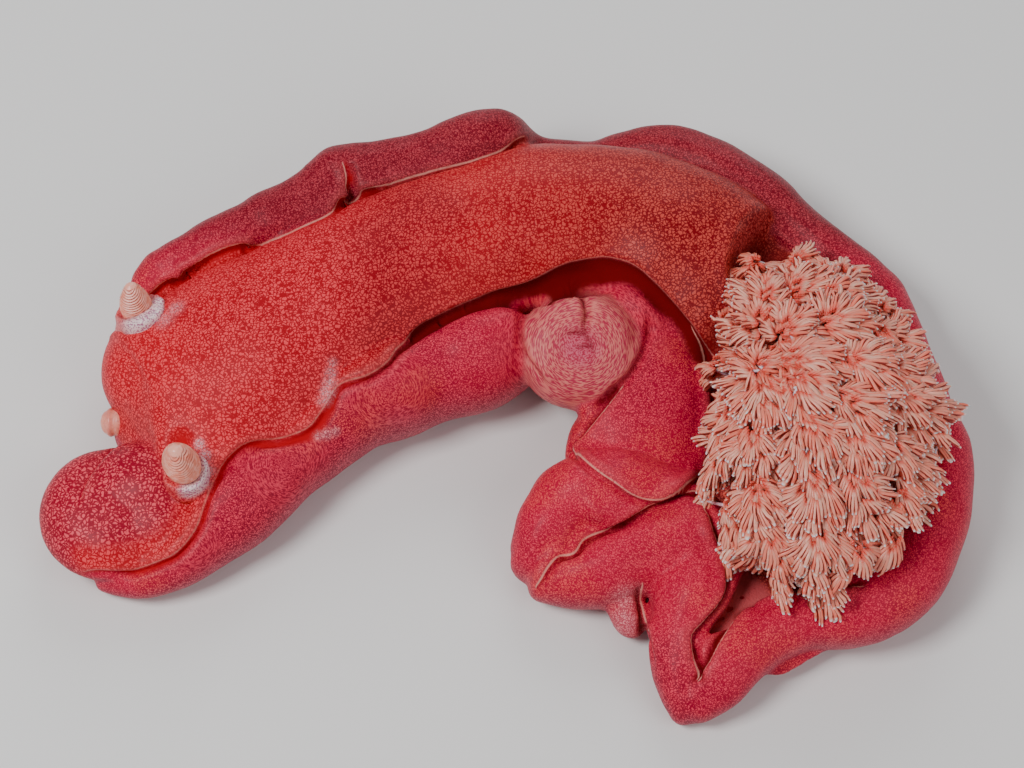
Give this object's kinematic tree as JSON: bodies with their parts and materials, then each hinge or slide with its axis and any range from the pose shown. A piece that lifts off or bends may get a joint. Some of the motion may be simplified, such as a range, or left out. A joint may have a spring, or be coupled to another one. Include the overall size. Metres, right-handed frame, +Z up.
{
  "type": "spanish dancer nudibranch",
  "caption": "Life-size still model of a large red sea slug at rest in a curve, with rolled mantle edges, rhinophores, oral tentacles and a crown of branched gills.",
  "frame": {"origin": "on the floor under the middle of the animal's bounding box", "axes": "+Z up; the animal's length lies mostly along X, with the head towards -X and the gills towards +X; -Y is the side that the picture was taken from"},
  "size_m": [0.246, 0.1762, 0.0564],
  "materials": {
    "body": "soft wet flesh, saturated red with dense pale pink and cream flecks",
    "mantle": "soft wet flesh, crimson pink with fine pale speckle and thin cream lips",
    "foot": "soft wet flesh, plain dull red",
    "rhinophore": "peach flesh with fine oblique leaves",
    "sheath": "lilac-white speckled flesh",
    "gill": "translucent peach filaments with pale tips"
  },
  "bodies": {
    "root": {"head": "body", "body_front": "body", "body_middle": "body", "body_rear": "body", "tail": "body", "mantle_front": "body", "mantle_right_front": "mantle", "mantle_right_middle": "mantle", "mantle_right_rear": "mantle", "mantle_tail_right": "mantle", "mantle_tail_left": "mantle", "mantle_left_front": "mantle", "mantle_left_middle": "mantle", "mantle_left_coil": "mantle", "mantle_left_coil_back": "mantle", "mantle_left_flap": "mantle", "mantle_left_fold_upper": "mantle", "mantle_left_fold_lower": "mantle", "mantle_left_rear": "mantle", "mantle_left_pocket": "mantle", "mantle_left_tab": "mantle", "foot_front": "foot", "foot_rear": "foot", "rhinophore_left": "rhinophore", "rhinophore_right": "rhinophore", "rhinophore_sheath_left": "sheath", "rhinophore_sheath_right": "sheath", "oral_tentacle_left": "rhinophore", "oral_tentacle_right": "rhinophore", "gill_1": "gill", "gill_2": "gill", "gill_3": "gill", "gill_4": "gill", "gill_5": "gill", "gill_6": "gill"}
  },
  "joints": []
}
